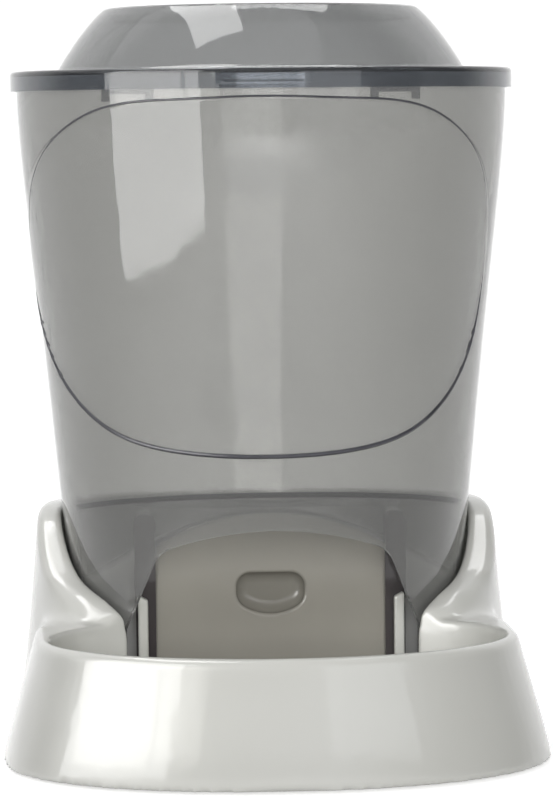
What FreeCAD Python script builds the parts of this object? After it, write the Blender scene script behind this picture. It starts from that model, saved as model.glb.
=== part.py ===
import FreeCAD, Part
import math
import os

# A gravity feeder for dry food: a white base with an open bowl and a cradle, a smoked tapered hopper that
# lifts out of it, a lift-off lid, a flow gate that slides up in two rails, and four rubber feet.
# Millimetres, +Z up, the bowl towards -Y, the origin under the middle of the footprint on the table.

V = FreeCAD.Vector

# ---- base: the bell skirt round the bowl ----
BASE_BOTTOM = 1.0
RIM_Z = 47.2
FLOOR_TOP = 9.0
FLOOR_THICK = 2.5
SHELL = 3.0
RIM_ROUND = 3.6
BOWL_EDGE_ROUND = 1.5
POCKET_EDGE_ROUND = 2.2
BELL_EXPONENT = 2.15
# (height, half width, y of the front end)
BELL_LEVELS = (
    (BASE_BOTTOM, 101.9, -138.0), (14.0, 98.7, -136.6), (30.0, 94.1, -133.9), (RIM_Z, 89.4, -131.0),
)
BELL_Y = -68.0
BELL_REAR_DEPTH = 205.0
BELL_CUT_Y = 60.0

# ---- base: the bowl and the cradle ----
BOWL_Y = -74.5
BOWL_HALF_X = 84.4
BOWL_HALF_Y = 52.0
BOWL_DRAFT = 4.0
BOWL_CORNER = 9.0
# (height, then how far the outer face stands off the hopper at the sides, in front and behind)
CRADLE_LEVELS = (
    (BASE_BOTTOM, 27.5, 22.0, 33.8),
    (14.0, 23.5, 18.0, 27.6),
    (30.0, 19.8, 13.6, 22.4),
    (51.0, 15.8, 9.6, 17.6),
    (68.0, 12.6, 8.8, 14.0),
    (92.0, 8.8, 8.6, 10.6),
)
DOORWAY_HALF_X = 55.6
# The cradle's top edge seen from the side, as (y, z): low at the bowl, up in an S, level round the back.
CRADLE_TOP = (
    (-90.0, 38.0), (-58.0, 41.0), (-41.5, 44.5), (-37.0, 49.8), (-30.0, 55.0), (-17.0, 59.6),
    (-8.0, 63.6), (2.0, 69.6), (12.0, 76.4), (22.0, 81.8), (36.0, 84.8), (60.0, 84.6), (100.0, 82.4),
    (150.0, 80.4),
)
POCKET_GAP = 0.8
POST_X = (47.3, 51.3)
POST_Y = (-24.2, -19.6)
POST_TOP = (54.0, 56.0)

# ---- feet ----
FOOT_PLACES = {
    "foot_front_left": (-66.0, -86.0),
    "foot_front_right": (66.0, -86.0),
    "foot_rear_left": (-52.0, 78.0),
    "foot_rear_right": (52.0, 78.0),
}
FOOT_RADIUS = 7.5
FOOT_STEM_RADIUS = 4.0
FOOT_PAD = 1.8
FOOT_STEM = 3.0
BOSS_RADIUS = 8.5

# ---- hopper ----
HOPPER_Y = 25.0
HOPPER_EXPONENT = 2.1
DEPTH_RATIO = 1.09
HOPPER_WALL = 2.4
HOPPER_BOTTOM = 9.4
HOPPER_TOP = 254.4
# (height, half width): the walls lean in towards the bottom
HOPPER_LEVELS = (
    (HOPPER_BOTTOM, 73.4), (47.0, 76.8), (86.0, 80.6), (146.0, 86.3), (205.0, 92.7), (HOPPER_TOP, 96.0),
)

# ---- hopper: the raised front panel ----
# It sits slightly left of the middle.
PANEL_X = -3.5
PANEL_RISE = 1.0
PANEL_SIDE_RISE = 0.4
PANEL_ROUND = 1.0
# The right half of its outline from the front, as (x, z), from the middle of the bottom to the top.
PANEL_OUTLINE = (
    (0.0, 113.0), (32.0, 114.6), (57.0, 121.4), (74.5, 138.0), (84.0, 163.0), (87.8, 195.0), (82.0, 225.0),
    (63.0, 241.0), (32.0, 245.4), (0.0, 246.3),
)

# ---- hopper: outlet ----
ARCH_HALF_BOTTOM = 55.6
ARCH_SHOULDER = (43.2, 75.6)
ARCH_KNEE_Z = 44.5
ARCH_TOP_Z = 84.8
ARCH_CORNER = 12.0
NICHE_FLOOR_Z = 13.4
NICHE_FLOOR_THICK = 2.2
PARTITION_Y = (-8.0, -5.8)
PARTITION_TOP_Z = 89.3
HOOD_SLOPE = 0.18
HOOD_THICK = 2.0
WINDOW_HALF_X = 40.0
WINDOW_TOP_Z = 45.0
RAMP_REAR = (112.0, 60.0)
RAMP_THICK = 2.4
POST_CLEARANCE = 0.7

# ---- flow gate and its rails ----
GATE_HALF_X = 43.8
GATE_TONGUE_HALF_X = 45.9
GATE_Y = (-17.6, -14.8)
GATE_Z = (14.4, 86.6)
# Its top edge is an arc, lower at the sides.
GATE_SIDE_TOP = 73.0
GATE_CLEARANCE = 0.4
GATE_TONGUE_Y = (-16.8, -14.8)
RAIL_X = (44.3, 52.0)
RAIL_Y = (-18.9, PARTITION_Y[0])
RAIL_Z = (NICHE_FLOOR_Z, 87.0)
RAIL_ROUND = 3.7
RAIL_WEB_X = 46.4
RECESS_Z = (47.3, 63.2)
RECESS_HALF_X = 13.1
RECESS_SAG = 5.0
RECESS_SIDE_ROUND = 6.5
RECESS_TOP_ROUND = 5.4
RECESS_DEPTH = 6.2
RECESS_WALL = 1.6
RECESS_FLOOR_ROUND = 4.4
RECESS_EDGE_ROUND = 1.2

# ---- lid ----
FLANGE_HALF_X = 98.4
FLANGE_DEPTH_RATIO = 1.088
FLANGE_Z = (249.3, 256.9)
FLANGE_SKIRT = 1.6
FLANGE_PLATE = 2.1
FLANGE_ROUND = 1.6
# (height above the flange, half width of the dome)
DOME_LEVELS = ((-1.0, 80.4), (0.0, 79.9), (7.5, 75.4), (15.5, 69.6), (24.3, 61.2))
DOME_WALL = 2.2
DOME_ROUND = 3.2
DOME_BASE_ROUND = 2.6
# The snap tabs and the finger lip sit slightly left of the middle.
LID_FEATURE_X = -3.5
TAB_X = 48.9
TAB_HALF_WIDTH = 9.5
TAB_RIB_WIDTH = 3.2
TAB_BAR_Z = 247.5
TAB_RIB_Z = 244.9
TAB_INSET = (3.2, 5.2)
LIP_HALF_X = 17.5
LIP_Z = (250.7, 255.2)
LIP_DEPTH = 0.9
LIP_RIB_HALF_X = 14.5
LIP_RIB_Z = (251.4, 252.4)
LIP_RIB_PROUD = 0.9


def superellipse_points(half_x, front_y, rear_y, middle_y, exponent, count=20):
    """Points round an oval whose front and rear halves may have different depths."""
    points = []
    for step in range(count):
        angle = 2.0 * math.pi * step / count
        across = math.cos(angle)
        along = math.sin(angle)
        depth = rear_y - middle_y if along >= 0.0 else middle_y - front_y
        x = half_x * math.copysign(abs(across) ** (2.0 / exponent), across)
        y = middle_y + depth * math.copysign(abs(along) ** (2.0 / exponent), along)
        points.append((x, y))
    return points


def closed_curve(points, z):
    """A smooth closed curve through points at one height."""
    curve = Part.BSplineCurve()
    curve.interpolate(Points=[V(x, y, z) for x, y in points], PeriodicFlag=True)
    return Part.Wire([curve.toShape()])


def oval_loft(levels, centre_y, depth_ratio, exponent, grow=0.0):
    """A solid through ovals given as (height, half width)."""
    wires = []
    for z, half_x in levels:
        deep = half_x * depth_ratio + grow
        points = superellipse_points(half_x + grow, centre_y - deep, centre_y + deep, centre_y, exponent)
        wires.append(closed_curve(points, z))
    return Part.makeLoft(wires, True, False)


def level_at(levels, z):
    """Half width at a height, straight between the levels and beyond the ends."""
    low, high = levels[0], levels[1]
    for below, above in zip(levels, levels[1:]):
        low, high = below, above
        if z <= above[0]:
            break
    share = (z - low[0]) / (high[0] - low[0])
    return low[1] + share * (high[1] - low[1])


def box(x, y, z):
    """A box from three (low, high) pairs."""
    return Part.makeBox(x[1] - x[0], y[1] - y[0], z[1] - z[0], V(x[0], y[0], z[0]))


def mirrored(shape):
    return shape.mirror(V(0, 0, 0), V(1, 0, 0))


def prism_x(points, half_length):
    """A polygon of (y, z) points run along X, centred on x = 0."""
    corners = [V(-half_length, y, z) for y, z in points]
    face = Part.Face(Part.makePolygon(corners + corners[:1]))
    return face.extrude(V(2.0 * half_length, 0, 0))


# ---- base ----

def bell_body(inset=0.0, bottom=BASE_BOTTOM, drop=0.0):
    """The skirt round the bowl: an oval whose long rear half runs back into the cradle."""
    wires = []
    for z, half_x, front_y in BELL_LEVELS:
        if z == BASE_BOTTOM:
            z = bottom
        if z == RIM_Z:
            z = RIM_Z - drop
        points = superellipse_points(
            half_x - inset, front_y + inset, BELL_Y + BELL_REAR_DEPTH, BELL_Y, BELL_EXPONENT)
        wires.append(closed_curve(points, z))
    oval = Part.makeLoft(wires, True, False).common(box((-130, 130), (-150, BELL_CUT_Y), (-5, 60)))
    if not drop:
        top_edges = [
            e for e in oval.Edges if e.BoundBox.ZMin > RIM_Z - 0.1 and e.BoundBox.YMin < BELL_CUT_Y - 1.0
        ]
        oval = oval.makeFillet(RIM_ROUND, top_edges)
    return oval


def under_cradle_top(drop):
    """Everything below the S-shaped top edge, as a block across the base."""
    edge = Part.BSplineCurve()
    edge.interpolate(Points=[V(-130.0, y, z - drop) for y, z in CRADLE_TOP])
    first, last = CRADLE_TOP[0], CRADLE_TOP[-1]
    under = Part.makePolygon([
        V(-130.0, last[0], last[1] - drop),
        V(-130.0, last[0], -5.0),
        V(-130.0, first[0], -5.0),
        V(-130.0, first[0], first[1] - drop),
    ])
    return Part.Face(Part.Wire([edge.toShape()] + under.Edges)).extrude(V(260.0, 0, 0))


def cradle_body(inset=0.0, bottom=BASE_BOTTOM, drop=0.0):
    """The wall that wraps round the hopper, flared towards the table."""
    wires = []
    for z, side, front, rear in CRADLE_LEVELS:
        half_x = level_at(HOPPER_LEVELS, z)
        half_y = half_x * DEPTH_RATIO
        points = superellipse_points(
            half_x + side - inset,
            HOPPER_Y - half_y - front + inset,
            HOPPER_Y + half_y + rear - inset,
            HOPPER_Y,
            HOPPER_EXPONENT,
        )
        wires.append(closed_curve(points, bottom if z == BASE_BOTTOM else z))
    wrap = Part.makeLoft(wires, True, False).common(under_cradle_top(drop))
    if not drop:
        top_edges = [e for e in wrap.Edges if e.BoundBox.ZMax > 60.0 and e.BoundBox.ZMin > 20.0]
        wrap = wrap.makeFillet(RIM_ROUND, top_edges)
    return wrap


def bowl_void(grow=0.0, floor_z=FLOOR_TOP):
    """The space of the bowl, narrower at the floor."""
    height = 100.0
    low = BOWL_DRAFT
    wires = []
    for z, inset in ((floor_z, low), (RIM_Z, 0.0), (height, -low * (height - RIM_Z) / (RIM_Z - FLOOR_TOP))):
        half_x = BOWL_HALF_X + grow - inset
        half_y = BOWL_HALF_Y + grow - inset
        points = superellipse_points(half_x, BOWL_Y - half_y, BOWL_Y + half_y, BOWL_Y, 2.0)
        wires.append(closed_curve(points, z))
    void = Part.makeLoft(wires, True, False)
    bottom_edges = [e for e in void.Edges if abs(e.BoundBox.ZMax - floor_z) < 0.01]
    return void.makeFillet(BOWL_CORNER, bottom_edges)


def pocket_void(grow=0.0, floor_z=FLOOR_TOP):
    """The space that the hopper stands in."""
    levels = [(z, level_at(HOPPER_LEVELS, z)) for z in (floor_z, 47.0, 86.0, 120.0)]
    return oval_loft(levels, HOPPER_Y, DEPTH_RATIO, HOPPER_EXPONENT, POCKET_GAP + grow)


def pocket_half_depth(z):
    """Half the pocket's length along Y at a height."""
    return level_at(HOPPER_LEVELS, z) * DEPTH_RATIO + POCKET_GAP


def key_post():
    """An upright that the hopper's floor slot drops over, with a slanted top."""
    corners = [
        V(POST_X[0], POST_Y[0], FLOOR_TOP - 1.0),
        V(POST_X[1], POST_Y[0], FLOOR_TOP - 1.0),
        V(POST_X[1], POST_Y[0], POST_TOP[1]),
        V(POST_X[0], POST_Y[0], POST_TOP[0]),
    ]
    face = Part.Face(Part.makePolygon(corners + corners[:1]))
    return face.extrude(V(0, POST_Y[1] - POST_Y[0], 0))


def rounded_bell():
    """The bell with the bowl sunk into it, and the bowl's edge rounded."""
    bell = bell_body().cut(bowl_void())
    front = BOWL_Y - BOWL_HALF_Y
    rim = [
        e for e in bell.Edges
        if e.BoundBox.ZMin > RIM_Z - 0.01 and e.BoundBox.YMin > front - 0.1
        and e.BoundBox.XLength < 2.0 * BOWL_HALF_X + 0.1 and e.BoundBox.YMax < BELL_CUT_Y - 1.0
    ]
    return bell.makeFillet(BOWL_EDGE_ROUND, rim)


def rounded_cradle():
    """The cradle round the hopper's pocket, with the pocket's edge rounded."""
    cradle = cradle_body().cut(pocket_void())
    inside_y = HOPPER_Y + pocket_half_depth(CRADLE_TOP[-1][1]) + 0.5 * POCKET_EDGE_ROUND
    edge = [
        e for e in cradle.Edges
        if e.BoundBox.ZMin > CRADLE_TOP[0][1] and e.BoundBox.XLength > 100.0 and e.BoundBox.YMax < inside_y
    ]
    return cradle.makeFillet(POCKET_EDGE_ROUND, edge)


def base_solid():
    """The base as a solid block, with the bowl, the pocket and the doorway between them taken out."""
    block = rounded_bell().cut(pocket_void()).fuse(rounded_cradle().cut(bowl_void()))
    doorway = box((-DOORWAY_HALF_X, DOORWAY_HALF_X), (-60.0, -15.0), (FLOOR_TOP, 70.0))
    return block.cut(doorway)


def base_hollow():
    """The space inside the double walls, open underneath."""
    under = FLOOR_TOP - FLOOR_THICK
    inner = bell_body(SHELL, -1.0, SHELL).fuse(cradle_body(SHELL, -1.0, SHELL))
    inner = inner.cut(bowl_void(FLOOR_THICK, under)).cut(pocket_void(FLOOR_THICK, under))
    doorway = box((-DOORWAY_HALF_X - SHELL, DOORWAY_HALF_X + SHELL), (-62.0, -15.0), (under, 70.0))
    return inner.cut(doorway)


def build_base():
    shape = base_solid().cut(base_hollow())
    shape = shape.fuse([key_post(), mirrored(key_post())])
    for x, y in FOOT_PLACES.values():
        shape = shape.fuse(Part.makeCylinder(BOSS_RADIUS, FLOOR_TOP - 1.0 - FOOT_PAD, V(x, y, FOOT_PAD)))
    for x, y in FOOT_PLACES.values():
        shape = shape.cut(Part.makeCylinder(FOOT_STEM_RADIUS, FOOT_STEM, V(x, y, FOOT_PAD)))
    return shape


def build_foot(x, y):
    """A rubber pad with a stem that plugs into the boss above it."""
    pad = Part.makeCylinder(FOOT_RADIUS, FOOT_PAD, V(x, y, 0))
    lower_edge = [e for e in pad.Edges if e.BoundBox.ZMax < 0.01]
    pad = pad.makeFillet(0.5, lower_edge)
    return pad.fuse(Part.makeCylinder(FOOT_STEM_RADIUS, FOOT_STEM, V(x, y, FOOT_PAD)))


# ---- hopper ----

def hopper_oval(grow=0.0, bottom=HOPPER_BOTTOM, top=HOPPER_TOP):
    """The hopper's outer form, or one standing in from it."""
    levels = [(bottom, level_at(HOPPER_LEVELS, bottom))] + list(HOPPER_LEVELS[1:-1])
    levels.append((top, level_at(HOPPER_LEVELS, top)))
    return oval_loft(levels, HOPPER_Y, DEPTH_RATIO, HOPPER_EXPONENT, grow)


def arc_through(points):
    return Part.Arc(*[V(*p) for p in points]).toShape()


def front_prism(edges, y_low, y_high):
    """A closed outline of edges drawn at y = y_low, run back to y_high."""
    wire = Part.Wire(Part.__sortEdges__(edges))
    return Part.Face(wire).extrude(V(0, y_high - y_low, 0))


def arch_void():
    """The outlet: upright below, leaning sides, and a shallow round top."""
    y = -120.0
    knee = (ARCH_HALF_BOTTOM, y, ARCH_KNEE_Z)
    foot = (ARCH_HALF_BOTTOM, y, NICHE_FLOOR_Z)
    shoulder = (ARCH_SHOULDER[0], y, ARCH_SHOULDER[1])
    left = [V(-x, yy, z) for x, yy, z in (foot, knee, shoulder)]
    right = [V(*p) for p in (foot, knee, shoulder)]
    edges = [
        Part.makeLine(left[0], left[1]),
        Part.makeLine(left[1], left[2]),
        arc_through((tuple(left[2]), (0.0, y, ARCH_TOP_Z), tuple(right[2]))),
        Part.makeLine(right[2], right[1]),
        Part.makeLine(right[1], right[0]),
        Part.makeLine(right[0], left[0]),
    ]
    void = front_prism(edges, y, -26.0)
    corners = [
        e for e in void.Edges
        if abs(abs(e.Vertexes[0].X) - ARCH_SHOULDER[0]) < 0.01 and e.BoundBox.XLength < 0.01
    ]
    return void.makeFillet(ARCH_CORNER, corners)


def raised_panel(inset=0.0):
    """The front panel that stands a little proud of the wall, inside a rounded outline."""
    wires = []
    for z, half_x in HOPPER_LEVELS[2:]:
        deep = half_x * DEPTH_RATIO
        points = superellipse_points(
            half_x + PANEL_SIDE_RISE - inset,
            HOPPER_Y - deep - PANEL_RISE + inset,
            HOPPER_Y + deep - 8.0,
            HOPPER_Y,
            HOPPER_EXPONENT,
        )
        wires.append(closed_curve(points, z))
    proud = Part.makeLoft(wires, True, False)
    right = [(x, z) for x, z in PANEL_OUTLINE]
    left = [(-x, z) for x, z in PANEL_OUTLINE[-2:0:-1]]
    outline = Part.BSplineCurve()
    outline.interpolate(Points=[V(PANEL_X + x, -130.0, z) for x, z in right + left], PeriodicFlag=True)
    window = Part.Face(Part.Wire([outline.toShape()])).extrude(V(0, 130.0 + HOPPER_Y, 0))
    panel = proud.common(window)
    outline_edges = [e for e in panel.Edges if e.BoundBox.XLength > 1.0 and e.BoundBox.YLength > 1.0]
    return panel.makeFillet(PANEL_ROUND, outline_edges)


def inner_plates():
    """The niche floor, the partition, the hood over the niche and the sloped floor behind it."""
    front, back = PARTITION_Y
    floor = box((-90, 90), (-90, back), (NICHE_FLOOR_Z - NICHE_FLOOR_THICK, NICHE_FLOOR_Z))
    partition = box((-90, 90), (front, back), (HOPPER_BOTTOM, PARTITION_TOP_Z))
    partition = partition.cut(
        box((-WINDOW_HALF_X, WINDOW_HALF_X), (front - 1.0, back + 1.0), (NICHE_FLOOR_Z, WINDOW_TOP_Z)))
    far = -100.0
    rise = (back - far) * HOOD_SLOPE
    hood = prism_x([
        (back, PARTITION_TOP_Z - HOOD_THICK),
        (back, PARTITION_TOP_Z),
        (far, PARTITION_TOP_Z + rise),
        (far, PARTITION_TOP_Z + rise - HOOD_THICK),
    ], 90.0)
    ramp = prism_x([
        (front + 0.5, NICHE_FLOOR_Z - RAMP_THICK),
        (front + 0.5, NICHE_FLOOR_Z),
        (RAMP_REAR[0], RAMP_REAR[1]),
        (RAMP_REAR[0], RAMP_REAR[1] - RAMP_THICK),
    ], 90.0)
    plates = partition.fuse([floor, hood, ramp])
    return plates.common(hopper_oval(-0.5 * HOPPER_WALL))


def gate_way():
    """The slot in the hood that the gate rises through."""
    half_x = GATE_TONGUE_HALF_X + 2.0 * GATE_CLEARANCE
    y = (GATE_Y[0] - 2.0 * GATE_CLEARANCE, GATE_Y[1] + 2.0 * GATE_CLEARANCE)
    return box((-half_x, half_x), y, (RAIL_Z[1], PARTITION_TOP_Z + 12.0))


def post_slot():
    """A slot in the niche floor for one upright of the base."""
    gap = POST_CLEARANCE
    return box(
        (POST_X[0] - gap, POST_X[1] + gap), (POST_Y[0] - gap, POST_Y[1] + gap), (0.0, NICHE_FLOOR_Z + 1.0))


def build_hopper():
    form = hopper_oval().fuse(raised_panel())
    inside = hopper_oval(-HOPPER_WALL, HOPPER_BOTTOM - 4.0, HOPPER_TOP + 4.0).fuse(raised_panel(HOPPER_WALL))
    shape = form.cut(inside)
    shape = shape.cut(arch_void()).fuse(inner_plates())
    for void in (gate_way(), post_slot(), mirrored(post_slot())):
        shape = shape.cut(void)
    return shape


# ---- flow gate and rails ----

def build_rail():
    """The right-hand guide: a channel with a rounded top, open at the top of its groove."""
    rail = box(RAIL_X, RAIL_Y, RAIL_Z)
    top_edges = [
        e for e in rail.Edges
        if e.BoundBox.ZMin > RAIL_Z[1] - 0.01 and e.BoundBox.YLength > 1.0
    ]
    rail = rail.makeFillet(RAIL_ROUND, top_edges)
    groove_y = (GATE_TONGUE_Y[0] - GATE_CLEARANCE, GATE_TONGUE_Y[1] + GATE_CLEARANCE)
    return rail.cut(box((RAIL_X[0] - 1.0, RAIL_WEB_X), groove_y, (RAIL_Z[0] - 1.0, RAIL_Z[1] + 1.0)))


def recess_block(grow, y_low, y_high):
    """The D shape of the finger recess: straight on top, round below."""
    half_x = RECESS_HALF_X + grow
    low, high = RECESS_Z[0] - grow, RECESS_Z[1] + grow
    side_low = low + RECESS_SAG
    edges = [
        Part.makeLine(V(-half_x, y_low, side_low), V(-half_x, y_low, high)),
        Part.makeLine(V(-half_x, y_low, high), V(half_x, y_low, high)),
        Part.makeLine(V(half_x, y_low, high), V(half_x, y_low, side_low)),
        arc_through(((half_x, y_low, side_low), (0.0, y_low, low), (-half_x, y_low, side_low))),
    ]
    block = front_prism(edges, y_low, y_high)
    for radius, corner_z in ((RECESS_SIDE_ROUND, side_low), (RECESS_TOP_ROUND, high)):
        corners = [
            e for e in block.Edges
            if e.BoundBox.YLength > 1.0 and abs(e.BoundBox.ZMin - corner_z) + e.BoundBox.ZLength < 0.01
        ]
        block = block.makeFillet(radius + grow, corners)
    return block


def arc_topped_plate(half_x, y):
    """An upright plate, straight below and a shallow arc on top."""
    bottom, top = GATE_Z
    side_top = GATE_SIDE_TOP
    edges = [
        Part.makeLine(V(-half_x, y[0], side_top), V(-half_x, y[0], bottom)),
        Part.makeLine(V(-half_x, y[0], bottom), V(half_x, y[0], bottom)),
        Part.makeLine(V(half_x, y[0], bottom), V(half_x, y[0], side_top)),
        arc_through(((half_x, y[0], side_top), (0.0, y[0], top), (-half_x, y[0], side_top))),
    ]
    return front_prism(edges, *y)


def build_gate():
    """The sliding panel, with thin tongues at its sides and a finger recess pressed into it."""
    panel = arc_topped_plate(GATE_HALF_X, GATE_Y)
    tongues = arc_topped_plate(GATE_TONGUE_HALF_X, GATE_TONGUE_Y)
    floor_y = GATE_Y[0] + RECESS_DEPTH
    boss = recess_block(RECESS_WALL, GATE_Y[0] + 0.5, floor_y + RECESS_WALL)
    void = recess_block(0.0, GATE_Y[0] - 1.0, floor_y)
    floor_edges = [e for e in void.Edges if e.BoundBox.YMin > floor_y - 0.01]
    void = void.makeFillet(RECESS_FLOOR_ROUND, floor_edges)
    gate = panel.fuse([tongues, boss]).cut(void)
    mouth_edges = [
        e for e in gate.Edges
        if e.BoundBox.YMax < GATE_Y[0] + 0.01 and e.BoundBox.ZMin > RECESS_Z[0] - 0.1
        and e.BoundBox.ZMax < RECESS_Z[1] + 0.1
    ]
    return gate.makeFillet(RECESS_EDGE_ROUND, mouth_edges)


# ---- lid ----

def flange_oval(grow, z_low, z_high):
    levels = ((z_low, FLANGE_HALF_X), (z_high, FLANGE_HALF_X))
    return oval_loft(levels, HOPPER_Y, FLANGE_DEPTH_RATIO, HOPPER_EXPONENT, grow)


def dome_form(grow=0.0, drop=0.0):
    top = FLANGE_Z[1]
    levels = [(top + height - drop, half_x) for height, half_x in DOME_LEVELS]
    return oval_loft(levels, HOPPER_Y, FLANGE_DEPTH_RATIO, HOPPER_EXPONENT, grow)


def snap_tab(x):
    """A tab that hangs inside the hopper's mouth, with a longer rib at each end."""
    low, high = x - TAB_HALF_WIDTH, x + TAB_HALF_WIDTH
    plate_z = FLANGE_Z[1] - FLANGE_PLATE + 0.5
    blank = box((low, high), (-90, 0), (TAB_BAR_Z, plate_z))
    blank = blank.fuse(box((low, low + TAB_RIB_WIDTH), (-90, 0), (TAB_RIB_Z, plate_z)))
    blank = blank.fuse(box((high - TAB_RIB_WIDTH, high), (-90, 0), (TAB_RIB_Z, plate_z)))
    top = HOPPER_TOP + 2.0
    ring = hopper_oval(-TAB_INSET[0], top=top).cut(hopper_oval(-TAB_INSET[1], top=top))
    return blank.common(ring)


def finger_lip(shape):
    """A shallow notch in the flange's front face, with a rib across it to lift the lid by."""
    front = HOPPER_Y - FLANGE_HALF_X * FLANGE_DEPTH_RATIO
    reach = (front - 5.0, front + 12.0)
    around = box((LID_FEATURE_X - LIP_HALF_X, LID_FEATURE_X + LIP_HALF_X), reach, LIP_Z)
    skin = flange_oval(1.0, *LIP_Z).cut(flange_oval(-LIP_DEPTH, *LIP_Z))
    shape = shape.cut(around.common(skin))
    bar = box((LID_FEATURE_X - LIP_RIB_HALF_X, LID_FEATURE_X + LIP_RIB_HALF_X), reach, LIP_RIB_Z)
    rib = flange_oval(LIP_RIB_PROUD, *LIP_RIB_Z).cut(flange_oval(-LIP_DEPTH - 0.3, *LIP_RIB_Z))
    return shape.fuse(bar.common(rib))


def build_lid():
    flange = flange_oval(0.0, *FLANGE_Z)
    flange_top = [e for e in flange.Edges if e.BoundBox.ZMin > FLANGE_Z[1] - 0.01]
    flange = flange.makeFillet(FLANGE_ROUND, flange_top)
    dome = dome_form()
    dome_top = FLANGE_Z[1] + DOME_LEVELS[-1][0]
    dome = dome.makeFillet(DOME_ROUND, [e for e in dome.Edges if e.BoundBox.ZMin > dome_top - 0.01])
    shape = flange.fuse(dome)
    dome_base = [
        e for e in shape.Edges
        if abs(e.BoundBox.ZMin - FLANGE_Z[1]) + e.BoundBox.ZLength < 0.01
        and e.BoundBox.XLength < 2.0 * DOME_LEVELS[0][1]
    ]
    shape = shape.makeFillet(DOME_BASE_ROUND, dome_base)
    shape = shape.cut(flange_oval(-FLANGE_SKIRT, FLANGE_Z[0] - 1.0, FLANGE_Z[1] - FLANGE_PLATE))
    shape = shape.cut(dome_form(-DOME_WALL, DOME_WALL))
    for side in (-1.0, 1.0):
        shape = shape.fuse(snap_tab(LID_FEATURE_X + side * TAB_X))
    return finger_lip(shape)


def export(node, shape):
    solids = shape.Solids
    print(node, "solids", len(solids), "volume", round(shape.Volume), "valid", shape.isValid())
    shape.exportStep(os.path.join("parts", node + ".step"))


os.makedirs("parts", exist_ok=True)
export("base_shell", build_base())
for foot, (foot_x, foot_y) in FOOT_PLACES.items():
    export(foot, build_foot(foot_x, foot_y))
export("hopper", build_hopper())
right_rail = build_rail()
export("gate_rail_right", right_rail)
export("gate_rail_left", mirrored(right_rail))
export("flow_gate", build_gate())
export("lid", build_lid())
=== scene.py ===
import bpy
import math
import numpy as np
from mathutils import Matrix, Vector


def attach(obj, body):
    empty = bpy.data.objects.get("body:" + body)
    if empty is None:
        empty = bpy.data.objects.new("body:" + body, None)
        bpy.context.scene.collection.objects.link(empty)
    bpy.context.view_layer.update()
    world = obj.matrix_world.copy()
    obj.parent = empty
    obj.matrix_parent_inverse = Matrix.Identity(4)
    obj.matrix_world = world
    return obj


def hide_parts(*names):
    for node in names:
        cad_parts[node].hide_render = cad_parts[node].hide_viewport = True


# The looks of the gravity feeder: a camera, soft studio light, a pale floor, and moulded-plastic materials
# on the frame's parts. Metres, +Z up, the bowl towards -Y. Angles are in degrees.

# ---- camera ----
CAMERA_AZIMUTH = -2.65
CAMERA_ELEVATION = 4.70
CAMERA_ROLL = -0.57
CAMERA_DISTANCE = 1.355
CAMERA_AIM = (0.00385, 0.0, 0.1292)
CAMERA_LENS = 157.1
CAMERA_CLIP = (0.05, 50.0)
SENSOR = 36.0

# ---- base moulding ----
VOXEL = 0.0010
# Where the skirt runs into the cradle on the right-hand side: up the skirt, then across the shoulder.
CREASE = (
    (0.0974, 0.000, 0.000), (0.0873, -0.0113, 0.0445), (0.0844, -0.0177, 0.0472), (0.0720, -0.0370, 0.0480),
    (0.0682, -0.0391, 0.0490),
)
CREASE_REACH = (0.008, 0.017)
CREASE_ROUNDS = 160
ALL_OVER_ROUNDS = 3
SMOOTHING = 0.5
LEAST_WEIGHT = 0.01
# Opposite corners of the right-hand post's box, which keeps its crisp edges.
POST_LOW = (0.045, -0.0275, 0.012)
POST_HIGH = (0.054, -0.0170, 0.065)
# The bowl's and the pocket's rims as ovals seen from above. The pocket widens as it rises.
BOWL_CENTRE_Y = -0.0745
BOWL_HALF = (0.0844, 0.0520)
POCKET_CENTRE_Y = 0.025
POCKET_HALF = (0.0776, 0.0846)
POCKET_LEAN = 0.093
POCKET_RIM_Z = 0.047
EDGE_KEEP = (0.002, 0.005)

# ---- painted shade line round the raised panel ----
# The right half of the panel's outline from the front, as (x, z), from the middle of the bottom to the top.
PANEL_X = -0.0035
PANEL_OUTLINE = (
    (0.0, 0.113), (0.032, 0.1146), (0.057, 0.1214), (0.0745, 0.138), (0.084, 0.163), (0.0878, 0.195),
    (0.082, 0.225), (0.063, 0.241), (0.032, 0.2454), (0.0, 0.2463),
)
# A nearly black tube along the panel's edge: painted shade where the raised panel's ledge is dark.
SHADE_LINE_STEPS = 360
SHADE_LINE_SIDES = 10
SHADE_LINE_RADIUS_BOTTOM = 0.00085
SHADE_LINE_RADIUS_TOP = 0.00045
SHADE_LINE_RADIUS_SIDE = 0.00025
# Shares of the panel's height over which the shade line changes from bottom to side and from side to top.
SHADE_LINE_SIDE_FROM = (0.30, 0.55)
SHADE_LINE_TOP_FROM = (0.82, 1.0)
# How far the shade line's middle stands off the hopper, as a share of its radius.
SHADE_LINE_PROUD = 0.3
IN_FRONT_Y = -0.2

# ---- plastics ----
# Each pair of tones is what the material wanders between.
PLASTIC_IOR = 1.49
WHITE_TONES = ((0.70, 0.70, 0.655), (0.73, 0.73, 0.69))
HOPPER_TONES = ((0.95, 0.95, 0.94), (0.98, 0.98, 0.97))
LID_TONES = ((0.93, 0.93, 0.93), (0.97, 0.97, 0.97))
GATE_TONES = ((0.455, 0.435, 0.385), (0.495, 0.475, 0.42))
RAIL_TONES = ((0.06, 0.052, 0.055), (0.09, 0.08, 0.082))
# painted shade: the near-black tones of the line along the raised panel's edge
SHADE_LINE_TONES = ((0.045, 0.045, 0.055), (0.10, 0.10, 0.115))
RUBBER_TONES = ((0.018, 0.018, 0.019), (0.04, 0.04, 0.042))
FLOOR_TONES = ((0.90, 0.90, 0.90), (0.93, 0.93, 0.93))
SMOKE_DENSITY = 300.0
SMOKE_CLEARNESS = 0.90
HOPPER_SMOKE = (0.17, 0.17, 0.142)
LID_SMOKE = (0.31, 0.325, 0.325)
RAIL_SMOKE = (0.10, 0.06, 0.14)
RAIL_CLEARNESS = 0.15
GATE_CLEARNESS = 0.3
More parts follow.
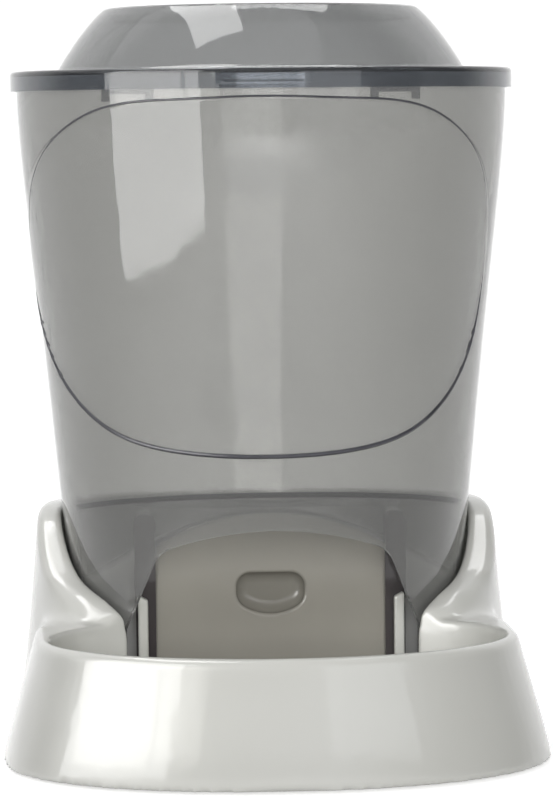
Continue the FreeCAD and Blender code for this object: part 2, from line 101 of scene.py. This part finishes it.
# The lid's painted shade by height: darkest on the tabs, then the flange, none on the dome. The starts are
# shares of the way up LID_LEVELS.
LID_LEVELS = (0.244, 0.264)
FLANGE_START = 0.255
DOME_START = 0.66
TAB_PAINTED_SHADE = (0.30, 0.31, 0.36)
FLANGE_PAINTED_SHADE = (0.52, 0.55, 0.60)
# Painted light: the partition behind the niche is made less clear, so its pale tone stands in for the lit
# cradle behind it. It lies between these shares of this stretch of Y.
PARTITION_BAND = (-0.010, -0.004)
PARTITION_SHARE = (0.30, 0.75)
PARTITION_PAINTED_LIGHT_CLEARNESS = 0.45
# Its painted light fades out between these heights at the middle, and lower at the sides, as the arch falls.
PARTITION_FADE = (0.0825, 0.0880)
ARCH_FALL = 4.93
# Painted shade: the gate is a little darker down in its finger recess.
RECESS_DEPTHS = (-0.0166, -0.0116)
RECESS_PAINTED_SHADE = (0.74, 0.74, 0.73)

# ---- light ----
FLOOR_SIZE = 60.0
FLOOR_GLOW = 0.50
BACKDROP_WHITE = 1.08
BACKDROP_EDGE = (0.15, 0.65)
ROOM_LIGHT = 0.12
SKY_POWER = 1.0
SKY_SPREAD = 100.0
SKY_TILT = (20.0, -30.0)
STRIP_TARGET = (0.0, -0.137, 0.03)
STRIP_DISTANCE = 1.17
STRIP_RISE = 0.375
STRIP_HEIGHT = 0.578
WHITE = (1.0, 1.0, 1.0)
WARM = (1.0, 0.99, 0.95)
COOL = (0.95, 0.97, 1.0)


def add_camera():
    """The camera stands in front, a little to one side and above, and leans by half a degree."""
    azimuth = math.radians(CAMERA_AZIMUTH)
    elevation = math.radians(CAMERA_ELEVATION)
    roll = math.radians(CAMERA_ROLL)
    back = Vector((
        math.sin(azimuth) * math.cos(elevation),
        -math.cos(azimuth) * math.cos(elevation),
        math.sin(elevation),
    ))
    level = Vector((math.cos(azimuth), math.sin(azimuth), 0.0))
    upright = back.cross(level)
    across = math.cos(roll) * level + math.sin(roll) * upright
    up = math.cos(roll) * upright - math.sin(roll) * level
    data = bpy.data.cameras.new("camera")
    data.lens = CAMERA_LENS
    data.sensor_width = SENSOR
    data.clip_start, data.clip_end = CAMERA_CLIP
    camera = bpy.data.objects.new("camera", data)
    place = Matrix.Translation(Vector(CAMERA_AIM) + CAMERA_DISTANCE * back)
    camera.matrix_world = place @ Matrix((across, up, back)).transposed().to_4x4()
    bpy.context.scene.collection.objects.link(camera)
    bpy.context.scene.camera = camera


def add_softbox(name, place, target, width, height, power, diffuse=True, glossy=True, tint=WHITE):
    """A rectangular soft light that faces a target. It can be left out of shading or out of reflections."""
    data = bpy.data.lights.new(name, "AREA")
    data.shape = "RECTANGLE"
    data.size = width
    data.size_y = height
    data.energy = power
    data.color = tint
    lamp = bpy.data.objects.new(name, data)
    lamp.location = place
    lamp.rotation_mode = "QUATERNION"
    lamp.rotation_quaternion = (Vector(target) - Vector(place)).to_track_quat("-Z", "Y")
    lamp.visible_camera = False
    lamp.visible_diffuse = diffuse
    lamp.visible_glossy = glossy
    lamp.visible_transmission = diffuse
    bpy.context.scene.collection.objects.link(lamp)


def add_strip(name, azimuth, width, power, tint):
    """An upright soft light round the front of the base, that only shows as a reflection."""
    angle = math.radians(azimuth)
    reach = Vector((math.sin(angle), -math.cos(angle), 0.0)) * STRIP_DISTANCE
    target = Vector(STRIP_TARGET)
    place = target + reach + Vector((0.0, 0.0, STRIP_RISE))
    add_softbox(name, place, target, width, STRIP_HEIGHT, power, diffuse=False, tint=tint)


def add_sky_light():
    """A wide, even light from overhead."""
    data = bpy.data.lights.new("overhead", "SUN")
    data.energy = SKY_POWER
    data.angle = math.radians(SKY_SPREAD)
    lamp = bpy.data.objects.new("overhead", data)
    lamp.rotation_euler = (math.radians(SKY_TILT[0]), math.radians(SKY_TILT[1]), 0.0)
    bpy.context.scene.collection.objects.link(lamp)


def add_lights():
    """The sky and the fill light the object. The cards and strips only show as patches on its gloss."""
    add_sky_light()
    add_softbox(
        "fill", place=(0.05, -1.60, 0.45), target=(0.0, -0.05, 0.08),
        width=0.8, height=0.6, power=13.0, glossy=False)
    add_softbox(
        "left_card", place=(-0.55, -0.45, 0.445), target=(0.0, -0.076, 0.445),
        width=0.62, height=0.85, power=8.0, diffuse=False)
    add_strip("far_left_strip", azimuth=-60.0, width=0.86, power=4.5, tint=WARM)
    add_strip("left_strip", azimuth=-29.8, width=0.36, power=1.7, tint=WARM)
    add_strip("right_strip", azimuth=29.0, width=0.66, power=1.7, tint=COOL)
    add_softbox(
        "dome_card", place=(-0.255, 0.205, 1.10), target=(-0.255, 0.175, 0.27),
        width=0.31, height=0.79, power=4.4, diffuse=False)
    add_softbox(
        "crown_card", place=(0.10, 0.35, 1.10), target=(0.10, 0.32, 0.27),
        width=0.44, height=0.50, power=3.2, diffuse=False)


def add_background(nodes, strength):
    background = nodes.new("ShaderNodeBackground")
    background.inputs["Color"].default_value = (*WHITE, 1.0)
    background.inputs["Strength"].default_value = strength
    return background


def add_world():
    """A white backdrop behind the object and a dim room in front. Seen directly, it is white all round."""
    world = bpy.data.worlds.new("studio")
    bpy.context.scene.world = world
    world.use_nodes = True
    nodes, links = world.node_tree.nodes, world.node_tree.links
    nodes.clear()
    output = nodes.new("ShaderNodeOutputWorld")
    bright = add_background(nodes, BACKDROP_WHITE)
    dim = add_background(nodes, ROOM_LIGHT)
    place = nodes.new("ShaderNodeTexCoord")
    axes = nodes.new("ShaderNodeSeparateXYZ")
    behind = nodes.new("ShaderNodeMapRange")
    behind.interpolation_type = "SMOOTHSTEP"
    behind.inputs["From Min"].default_value = BACKDROP_EDGE[0]
    behind.inputs["From Max"].default_value = BACKDROP_EDGE[1]
    path = nodes.new("ShaderNodeLightPath")
    seen = nodes.new("ShaderNodeMath")
    seen.operation = "MAXIMUM"
    either = nodes.new("ShaderNodeMath")
    either.operation = "MAXIMUM"
    mix = nodes.new("ShaderNodeMixShader")
    links.new(place.outputs["Generated"], axes.inputs[0])
    links.new(axes.outputs["Y"], behind.inputs["Value"])
    links.new(path.outputs["Is Camera Ray"], seen.inputs[0])
    links.new(path.outputs["Is Transmission Ray"], seen.inputs[1])
    links.new(seen.outputs[0], either.inputs[0])
    links.new(behind.outputs["Result"], either.inputs[1])
    links.new(either.outputs[0], mix.inputs[0])
    links.new(dim.outputs[0], mix.inputs[1])
    links.new(bright.outputs[0], mix.inputs[2])
    links.new(mix.outputs[0], output.inputs["Surface"])


def shader_of(material):
    return next(n for n in material.node_tree.nodes if n.type == "BSDF_PRINCIPLED")


def output_of(tree):
    return next(n for n in tree.nodes if n.type == "OUTPUT_MATERIAL")


def new_material(name):
    material = bpy.data.materials.new(name)
    material.use_nodes = True
    return material, material.node_tree, shader_of(material)


def add_noise(tree, scale, detail=2.0):
    """A noise value over the piece, its scale in features per metre."""
    place = tree.nodes.new("ShaderNodeTexCoord")
    noise = tree.nodes.new("ShaderNodeTexNoise")
    noise.inputs["Scale"].default_value = scale
    noise.inputs["Detail"].default_value = detail
    tree.links.new(place.outputs["Object"], noise.inputs["Vector"])
    return noise.outputs["Fac"]


def add_place(tree):
    """Where on the piece a point lies, as outputs X, Y and Z."""
    place = tree.nodes.new("ShaderNodeTexCoord")
    axes = tree.nodes.new("ShaderNodeSeparateXYZ")
    tree.links.new(place.outputs["Object"], axes.inputs[0])
    return axes.outputs


def add_range(tree, value, start, end, first=0.0, last=1.0):
    """Goes from first to last as the value goes from start to end, and stays there outside them."""
    spread = tree.nodes.new("ShaderNodeMapRange")
    spread.inputs["From Min"].default_value = start
    spread.inputs["From Max"].default_value = end
    spread.inputs["To Min"].default_value = first
    spread.inputs["To Max"].default_value = last
    tree.links.new(value, spread.inputs["Value"])
    return spread.outputs["Result"]


def add_steps(tree, value, colours, starts):
    """The first colour, then each next one from its start on, with no blend between them."""
    steps = tree.nodes.new("ShaderNodeValToRGB")
    steps.color_ramp.interpolation = "CONSTANT"
    steps.color_ramp.elements[0].color = (*colours[0], 1.0)
    steps.color_ramp.elements[1].position = starts[0]
    steps.color_ramp.elements[1].color = (*colours[1], 1.0)
    last = steps.color_ramp.elements.new(starts[1])
    last.color = (*colours[2], 1.0)
    tree.links.new(value, steps.inputs["Fac"])
    return steps.outputs["Color"]


def add_product(tree):
    """A node that multiplies colour A by colour B as far as its factor says."""
    product = tree.nodes.new("ShaderNodeMix")
    product.data_type = "RGBA"
    product.blend_type = "MULTIPLY"
    product.inputs["Factor"].default_value = 1.0
    return product


def vary_colour(tree, value, socket, tones):
    """Runs a socket between two tones with a noise value."""
    ramp = tree.nodes.new("ShaderNodeValToRGB")
    ramp.color_ramp.elements[0].position = 0.3
    ramp.color_ramp.elements[1].position = 0.7
    ramp.color_ramp.elements[0].color = (*tones[0], 1.0)
    ramp.color_ramp.elements[1].color = (*tones[1], 1.0)
    tree.links.new(value, ramp.inputs["Fac"])
    tree.links.new(ramp.outputs["Color"], socket)


def vary_roughness(tree, value, shader, smallest, largest):
    tree.links.new(add_range(tree, value, 0.3, 0.7, smallest, largest), shader.inputs["Roughness"])


def add_bump(tree, value, shader, strength, depth):
    bump = tree.nodes.new("ShaderNodeBump")
    bump.inputs["Strength"].default_value = strength
    bump.inputs["Distance"].default_value = depth
    tree.links.new(value, bump.inputs["Height"])
    tree.links.new(bump.outputs["Normal"], shader.inputs["Normal"])


def white_plastic():
    """Glossy moulded polypropylene, faintly uneven in tone and gloss."""
    material, tree, shader = new_material("white_plastic")
    vary_colour(tree, add_noise(tree, 14.0), shader.inputs["Base Color"], WHITE_TONES)
    vary_roughness(tree, add_noise(tree, 60.0, 4.0), shader, 0.30, 0.38)
    add_bump(tree, add_noise(tree, 1400.0, 3.0), shader, strength=0.08, depth=0.0002)
    shader.inputs["IOR"].default_value = PLASTIC_IOR
    shader.inputs["Coat Weight"].default_value = 0.8
    shader.inputs["Coat Roughness"].default_value = 0.09
    return material


def smoked_plastic(name, tones, smoke, density=SMOKE_DENSITY, clearness=SMOKE_CLEARNESS):
    """Clear smoked plastic, darker where it is thicker, with faint flow marks from the mould."""
    material, tree, shader = new_material(name)
    absorption = tree.nodes.new("ShaderNodeVolumeAbsorption")
    absorption.inputs["Color"].default_value = (*smoke, 1.0)
    absorption.inputs["Density"].default_value = density
    tree.links.new(absorption.outputs["Volume"], output_of(tree).inputs["Volume"])
    vary_colour(tree, add_noise(tree, 18.0), shader.inputs["Base Color"], tones)
    vary_roughness(tree, add_noise(tree, 90.0, 4.0), shader, 0.03, 0.07)
    add_bump(tree, add_noise(tree, 35.0), shader, strength=0.05, depth=0.001)
    shader.inputs["IOR"].default_value = PLASTIC_IOR
    shader.inputs["Transmission Weight"].default_value = clearness
    return material


def lid_plastic():
    """The lid's clear smoke, with painted shade by height: a darker tone on the flange and the darkest on the
    tabs below it.
    """
    material = smoked_plastic("lid_smoke", LID_TONES, LID_SMOKE)
    tree, shader = material.node_tree, shader_of(material)
    tone = shader.inputs["Base Color"].links[0].from_socket
    level = add_range(tree, add_place(tree)["Z"], *LID_LEVELS)
    # painted shade: the tabs and the flange get a darker tone than the dome
    tint = add_steps(tree, level, (TAB_PAINTED_SHADE, FLANGE_PAINTED_SHADE, WHITE), (FLANGE_START, DOME_START))
    product = add_product(tree)
    tree.links.new(tone, product.inputs["A"])
    tree.links.new(tint, product.inputs["B"])
    tree.links.new(product.outputs["Result"], shader.inputs["Base Color"])
    return material


def hopper_plastic():
    """The hopper's clear smoke, with painted light on the partition behind the niche: less clear there, so
    its pale tone shows as if lit like the white cradle behind it.
    """
    material = smoked_plastic("hopper_smoke", HOPPER_TONES, HOPPER_SMOKE)
    tree, shader = material.node_tree, shader_of(material)
    axes = add_place(tree)
    depth = add_range(tree, axes["Y"], *PARTITION_BAND)
    # painted light: the partition is less clear, so it looks lit like the cradle behind it
    clear, painted_light = (SMOKE_CLEARNESS,) * 3, (PARTITION_PAINTED_LIGHT_CLEARNESS,) * 3
    clearness = add_steps(tree, depth, (clear, painted_light, clear), PARTITION_SHARE)
    across = tree.nodes.new("ShaderNodeMath")
    across.operation = "MULTIPLY"
    tree.links.new(axes["X"], across.inputs[0])
    tree.links.new(axes["X"], across.inputs[1])
    level = tree.nodes.new("ShaderNodeMath")
    level.operation = "MULTIPLY_ADD"
    level.inputs[1].default_value = ARCH_FALL
    tree.links.new(across.outputs[0], level.inputs[0])
    tree.links.new(axes["Z"], level.inputs[2])
    below = add_range(tree, level.outputs[0], *PARTITION_FADE, first=1.0, last=0.0)
    chosen = tree.nodes.new("ShaderNodeMix")
    chosen.inputs["A"].default_value = SMOKE_CLEARNESS
    tree.links.new(below, chosen.inputs["Factor"])
    tree.links.new(clearness, chosen.inputs["B"])
    tree.links.new(chosen.outputs["Result"], shader.inputs["Transmission Weight"])
    return material


def rail_plastic():
    """Smoked plastic so dense that it is nearly black."""
    return smoked_plastic(
        "rail_smoke", RAIL_TONES, RAIL_SMOKE, density=2.0 * SMOKE_DENSITY, clearness=RAIL_CLEARNESS)


def shade_line_plastic():
    """Nearly black plastic for the painted shade line along the raised panel's edge."""
    material, tree, shader = new_material("painted_shade_line")
    vary_colour(tree, add_noise(tree, 60.0), shader.inputs["Base Color"], SHADE_LINE_TONES)
    vary_roughness(tree, add_noise(tree, 200.0), shader, 0.20, 0.26)
    shader.inputs["IOR"].default_value = PLASTIC_IOR
    return material


def gate_plastic():
    """Warm grey smoked plastic, milky enough to hide what is behind it, with painted shade in its finger
    recess.
    """
    material, tree, shader = new_material("gate_smoke")
    product = add_product(tree)
    vary_colour(tree, add_noise(tree, 25.0), product.inputs["A"], GATE_TONES)
    # painted shade: darker down in the finger recess
    product.inputs["B"].default_value = (*RECESS_PAINTED_SHADE, 1.0)
    depth = add_range(tree, add_place(tree)["Y"], *RECESS_DEPTHS)
    tree.links.new(depth, product.inputs["Factor"])
    tree.links.new(product.outputs["Result"], shader.inputs["Base Color"])
    vary_roughness(tree, add_noise(tree, 120.0, 3.0), shader, 0.14, 0.20)
    add_bump(tree, add_noise(tree, 45.0), shader, strength=0.06, depth=0.001)
    shader.inputs["IOR"].default_value = PLASTIC_IOR
    shader.inputs["Transmission Weight"].default_value = GATE_CLEARNESS
    return material


def rubber():
    """Matt black rubber with a fine grain."""
    material, tree, shader = new_material("foot_rubber")
    vary_colour(tree, add_noise(tree, 900.0, 4.0), shader.inputs["Base Color"], RUBBER_TONES)
    vary_roughness(tree, add_noise(tree, 400.0, 3.0), shader, 0.7, 0.9)
    add_bump(tree, add_noise(tree, 2200.0, 3.0), shader, strength=0.3, depth=0.0002)
    return material


def floor_material():
    """Pale matt paper with a faint glow, so that it stays as white as the backdrop."""
    material, tree, shader = new_material("floor")
    vary_colour(tree, add_noise(tree, 3.0), shader.inputs["Base Color"], FLOOR_TONES)
    shader.inputs["Roughness"].default_value = 0.7
    shader.inputs["Emission Color"].default_value = (*WHITE, 1.0)
    shader.inputs["Emission Strength"].default_value = FLOOR_GLOW
    shader.inputs["Specular IOR Level"].default_value = 0.2
    return material


def add_floor():
    half = 0.5 * FLOOR_SIZE
    corners = [(-half, -half, 0.0), (half, -half, 0.0), (half, half, 0.0), (-half, half, 0.0)]
    mesh = bpy.data.meshes.new("floor")
    mesh.from_pydata(corners, [], [(0, 1, 2, 3)])
    mesh.materials.append(floor_material())
    floor = bpy.data.objects.new("floor", mesh)
    floor.visible_diffuse = False
    bpy.context.scene.collection.objects.link(floor)


def ramp(value, start, end):
    """0 up to start, 1 from end on, smooth between."""
    share = np.clip((value - start) / (end - start), 0.0, 1.0)
    return share * share * (3.0 - 2.0 * share)


def distance_to_path(points, path):
    """How far each point is from a line of straight runs."""
    nearest = np.full(len(points), np.inf)
    for start, end in zip(path, path[1:]):
        start, end = np.array(start), np.array(end)
        run = end - start
        share = np.clip((points - start) @ run / (run @ run), 0.0, 1.0)
        gap = np.linalg.norm(points - start - share[:, None] * run, axis=1)
        nearest = np.minimum(nearest, gap)
    return nearest


def off_oval(x, y, centre_y, half_x, half_y):
    """Roughly how far points are from an oval seen from above, inside or outside."""
    across, along = x / half_x, (y - centre_y) / half_y
    return np.abs(np.hypot(across, along) - 1.0) * half_y


def on_the_right(points):
    """The points, with those on the left mirrored to the right."""
    return np.column_stack((np.abs(points[:, 0]), points[:, 1:]))


def crease_weights(points):
    """1 near the inward creases of the base's outer face, 0 elsewhere and at the bowl's and pocket's rims."""
    right = on_the_right(points)
    near = 1.0 - ramp(distance_to_path(right, CREASE), *CREASE_REACH)
    lean = POCKET_LEAN * (right[:, 2] - POCKET_RIM_Z)
    bowl_gap = off_oval(right[:, 0], right[:, 1], BOWL_CENTRE_Y, *BOWL_HALF)
    pocket_gap = off_oval(
        right[:, 0], right[:, 1], POCKET_CENTRE_Y, POCKET_HALF[0] + lean, POCKET_HALF[1] + lean)
    return near * ramp(bowl_gap, *EDGE_KEEP) * ramp(pocket_gap, *EDGE_KEEP)


def away_from_posts(points):
    """0 on the two upright posts, 1 everywhere else."""
    right = on_the_right(points)
    inside = np.all((right > POST_LOW) & (right < POST_HIGH), axis=1)
    return 1.0 - inside


def applied(piece):
    """The piece's mesh with its modifiers made permanent."""
    graph = bpy.context.evaluated_depsgraph_get()
    mesh = bpy.data.meshes.new_from_object(piece.evaluated_get(graph))
    piece.modifiers.clear()
    piece.data = mesh
    return mesh


def add_smoothing(piece, rounds, name, weights):
    """Smooths the piece where the weights say."""
    group = piece.vertex_groups.new(name=name)
    for index in np.nonzero(weights > LEAST_WEIGHT)[0]:
        group.add([int(index)], float(weights[index]), "REPLACE")
    smooth = piece.modifiers.new("smooth", "SMOOTH")
    smooth.factor = SMOOTHING
    smooth.iterations = rounds
    smooth.vertex_group = name


def build_base_moulding(material):
    """The base as one flowing moulding: the frame's shell with its inward creases blended."""
    piece = bpy.data.objects.new("base_moulding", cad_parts["base_shell"].data.copy())
    bpy.context.scene.collection.objects.link(piece)
    remesh = piece.modifiers.new("remesh", "REMESH")
    remesh.mode = "VOXEL"
    remesh.voxel_size = VOXEL
    remesh.use_smooth_shade = True
    mesh = applied(piece)
    points = np.empty(3 * len(mesh.vertices))
    mesh.vertices.foreach_get("co", points)
    points = points.reshape(-1, 3)
    add_smoothing(piece, CREASE_ROUNDS, "creases", crease_weights(points))
    add_smoothing(piece, ALL_OVER_ROUNDS, "all_over", away_from_posts(points))
    mesh = applied(piece)
    mesh.materials.clear()
    mesh.materials.append(material)
    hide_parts("base_shell")
    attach(piece, "base")


def closed_spline(points, count):
    """Evenly stepped points on the smooth closed curve through the given points."""
    knots = np.array(points)
    size = len(knots)
    spans = np.linalg.norm(np.roll(knots, -1, axis=0) - knots, axis=1)
    system = np.zeros((size, size))
    right_side = np.zeros((size, 2))
    for i in range(size):
        before, after = (i - 1) % size, (i + 1) % size
        system[i, before] = spans[i]
        system[i, i] = 2.0 * (spans[before] + spans[i])
        system[i, after] = spans[before]
        right_side[i] = 3.0 * (
            spans[i] * (knots[i] - knots[before]) / spans[before]
            + spans[before] * (knots[after] - knots[i]) / spans[i])
    slopes = np.linalg.solve(system, right_side)
    starts = np.concatenate(([0.0], np.cumsum(spans)))
    found = []
    for along in np.linspace(0.0, starts[-1], count, endpoint=False):
        i = min(int(np.searchsorted(starts, along, side="right")) - 1, size - 1)
        after = (i + 1) % size
        t = (along - starts[i]) / spans[i]
        found.append(
            (2 * t**3 - 3 * t**2 + 1) * knots[i] + (t**3 - 2 * t**2 + t) * spans[i] * slopes[i]
            + (3 * t**2 - 2 * t**3) * knots[after] + (t**3 - t**2) * spans[i] * slopes[after])
    return np.array(found)


def shade_line_radius(z):
    """Fullest along the bottom of the panel, fine at its upright sides."""
    low, high = PANEL_OUTLINE[0][1], PANEL_OUTLINE[-1][1]
    up = np.array((z - low) / (high - low))
    top_share = float(ramp(up, *SHADE_LINE_TOP_FROM))
    side_share = float(ramp(up, *SHADE_LINE_SIDE_FROM)) * (1.0 - top_share)
    level = SHADE_LINE_RADIUS_TOP * top_share + SHADE_LINE_RADIUS_BOTTOM * (1.0 - top_share)
    return level + (SHADE_LINE_RADIUS_SIDE - level) * side_share


def closed_tube(name, centres, radii, sides):
    """A closed tube through a ring of points."""
    vertices, faces = [], []
    count = len(centres)
    for i in range(count):
        run = (centres[(i + 1) % count] - centres[i - 1]).normalized()
        out = Vector((0.0, -1.0, 0.0))
        across = run.cross(out).normalized()
        out = across.cross(run)
        for k in range(sides):
            angle = 2.0 * math.pi * k / sides
            vertices.append(centres[i] + radii[i] * (math.cos(angle) * across + math.sin(angle) * out))
    for i in range(count):
        for k in range(sides):
            a, b = i * sides + k, i * sides + (k + 1) % sides
            c, d = (i + 1) % count * sides + (k + 1) % sides, (i + 1) % count * sides + k
            faces.append((a, b, c, d))
    mesh = bpy.data.meshes.new(name)
    mesh.from_pydata([tuple(v) for v in vertices], [], faces)
    mesh.shade_smooth()
    piece = bpy.data.objects.new(name, mesh)
    bpy.context.scene.collection.objects.link(piece)
    return piece


def build_panel_shade_line(material):
    """The painted shade line round the raised panel: a dark tube laid on the hopper's face."""
    right = list(PANEL_OUTLINE)
    left = [(-x, z) for x, z in PANEL_OUTLINE[-2:0:-1]]
    outline = closed_spline([(PANEL_X + x, z) for x, z in right + left], SHADE_LINE_STEPS)
    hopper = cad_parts["hopper"]
    inward = Vector((0.0, 1.0, 0.0))
    centres, radii = [], []
    for x, z in outline:
        hit, place, _, _ = hopper.ray_cast(Vector((x, IN_FRONT_Y, z)), inward)
        if hit:
            radius = shade_line_radius(z)
            centres.append(place - SHADE_LINE_PROUD * radius * inward)
            radii.append(radius)
    shade_line = closed_tube("panel_shade_line", centres, radii, SHADE_LINE_SIDES)
    shade_line.data.materials.append(material)
    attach(shade_line, "hopper")


def dress(nodes, material):
    """Gives frame parts their material."""
    for node in nodes:
        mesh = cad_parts[node].data
        mesh.materials.clear()
        mesh.materials.append(material)


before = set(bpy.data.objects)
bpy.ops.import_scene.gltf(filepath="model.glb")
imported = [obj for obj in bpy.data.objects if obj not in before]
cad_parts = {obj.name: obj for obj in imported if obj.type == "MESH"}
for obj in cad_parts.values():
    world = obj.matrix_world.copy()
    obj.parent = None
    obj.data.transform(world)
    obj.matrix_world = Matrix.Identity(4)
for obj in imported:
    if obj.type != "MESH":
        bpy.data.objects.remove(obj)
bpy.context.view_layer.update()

bpy.context.scene.view_settings.view_transform = "Standard"
add_camera()
add_world()
add_floor()
add_lights()

build_base_moulding(white_plastic())
dress(["hopper"], hopper_plastic())
dress(["lid"], lid_plastic())
dress(["flow_gate"], gate_plastic())
dress(["gate_rail_left", "gate_rail_right"], rail_plastic())
dress(["foot_front_left", "foot_front_right", "foot_rear_left", "foot_rear_right"], rubber())
build_panel_shade_line(shade_line_plastic())
